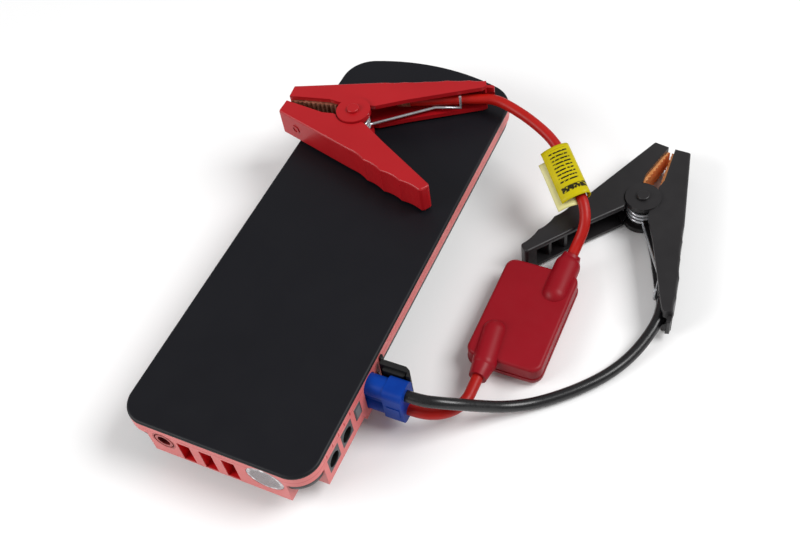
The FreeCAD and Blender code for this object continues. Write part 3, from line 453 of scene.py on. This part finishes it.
foil = surface(
    "cell_foil", (0.55, 0.56, 0.57), (0.68, 0.69, 0.70), (0.3, 0.45), 60.0, 800.0, metallic=1.0)
foam = surface(
    "foam", (0.02, 0.02, 0.02), (0.04, 0.04, 0.04), (0.85, 0.95), 200.0, 900.0, relief=0.0002,
    sheen=0.3)
board = surface(
    "solder_mask", (0.006, 0.06, 0.02), (0.01, 0.09, 0.035), (0.3, 0.45), 150.0, 1200.0)
reflector = surface(
    "reflector", (0.82, 0.82, 0.83), (0.92, 0.92, 0.93), (0.06, 0.14), 300.0, 1500.0, metallic=1.0)
led = surface(
    "led_resin", (0.72, 0.62, 0.20), (0.85, 0.75, 0.30), (0.25, 0.35), 600.0, 2000.0)
# the lens rim carries painted glints, near-white highlights on its facets
lens = surface(
    "lens_frosted", (0.13, 0.115, 0.122), (0.20, 0.18, 0.19), (0.22, 0.34), 700.0, 1400.0,
    relief=0.00012, strength=0.6, coat=0.4, marks=[(lens_rim_glints, (0.95, 0.94, 0.96))])
label = surface(
    "label_yellow", (0.47, 0.39, 0.0015), (0.56, 0.46, 0.003), (0.34, 0.42), 90.0, 1500.0,
    specular=0.15, marks=[(print_rows, (0.02, 0.017, 0.006))])
label_pale = surface(
    "label_back", (0.62, 0.58, 0.22), (0.70, 0.66, 0.32), (0.4, 0.5), 90.0, 1500.0)

# each material, and the CAD nodes that wear it
FINISH = [
    (cover_black, "top_cover"), (shell_black, "bottom_shell"), (coral, "band_frame"),
    (dark_steel, "case_screws"), (foil, "cell_1", "cell_2", "cell_3"), (zinc, "cell_tabs"),
    (copper, "bus_bars"), (foam, "foam_bottom", "foam_top"),
    (board, "main_board", "module_board", "level_board"),
    (inner_black, "board_components", "button_switch", "jump_socket"),
    (steel, "usb_socket_1", "usb_socket_2", "usb_socket_3"),
    (inner_black, "usb_tongue_1", "usb_tongue_2", "usb_tongue_3"),
    (shaded_inlet, "charge_inlet"), (gold, "inlet_pin", "jack_pins", "jump_pins", "plug_contacts"),
    (grey, "output_jack_1", "output_jack_2"), (lens, "torch_lens"), (window_red, "level_windows"),
    (reflector, "torch_reflector"), (led, "torch_led", "level_leds"), (button_grey, "power_button"),
    (rubber, "cap_strap", "socket_cap"), (plug_blue, "plug_housing"),
    (module_red, "module_top", "module_base")]
for pole, plastic, strip in (("red", clamp_red, copper_in_shade), ("black", clamp_black, copper)):
    FINISH.append((plastic, f"{pole}_cable_arm", f"{pole}_free_arm", f"{pole}_pivot_pin"))
    FINISH.append((strip, f"{pole}_cable_jaw", f"{pole}_free_jaw", f"{pole}_cable_crimp"))
for material, *names in FINISH:
    for name in names:
        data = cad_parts[name].data
        data.materials.clear()
        data.materials.append(material)
for piece, material in ((springs["red"], zinc), (springs["black"], zinc), (black_cord, cord_black),
                        (red_short, cord_red), (red_long, cord_red), (tag_front, label),
                        (tag_back, label_pale)):
    piece.data.materials.append(material)


# ---- floor and light --------------------------------------------------------------------------
FLOOR_REACH = 3.0
FLOOR_Z = -0.0002   # a hair below the pack's underside, so that the two faces don't meet
FLOOR_GREY = 0.93


def make_floor():
    mesh = bmesh.new()
    bmesh.ops.create_grid(mesh, x_segments=1, y_segments=1, size=FLOOR_REACH)
    data = bpy.data.meshes.new("floor")
    mesh.to_mesh(data)
    mesh.free()
    floor = bpy.data.objects.new("floor", data)
    floor.location.z = FLOOR_Z
    scene.collection.objects.link(floor)
    material, _, _, bsdf = shader("floor_white")
    bsdf.inputs["Base Color"].default_value = (FLOOR_GREY, FLOOR_GREY, FLOOR_GREY, 1.0)
    bsdf.inputs["Roughness"].default_value = 0.9
    data.materials.append(material)


def area_light(name, location, target, size, power):
    data = bpy.data.lights.new(name, "AREA")
    data.shape = "RECTANGLE"
    data.size, data.size_y = size
    data.energy = power
    light = bpy.data.objects.new(name, data)
    light.location = location
    way = Vector(target) - Vector(location)
    light.rotation_euler = way.to_track_quat("-Z", "Y").to_euler()
    scene.collection.objects.link(light)


make_floor()
area_light("key", (1.0, 0.35, 1.2), target=(0.03, 0.0, 0.0), size=(0.8, 0.8), power=20.0)
area_light("fill", (-0.9, -0.9, 0.8), target=(0.0, 0.0, 0.0), size=(0.9, 0.7), power=13.0)
world = bpy.data.worlds.new("studio")
world.use_nodes = True
background = world.node_tree.nodes["Background"]
background.inputs["Color"].default_value = (1.0, 1.0, 1.0, 1.0)
background.inputs["Strength"].default_value = 0.35
scene.world = world
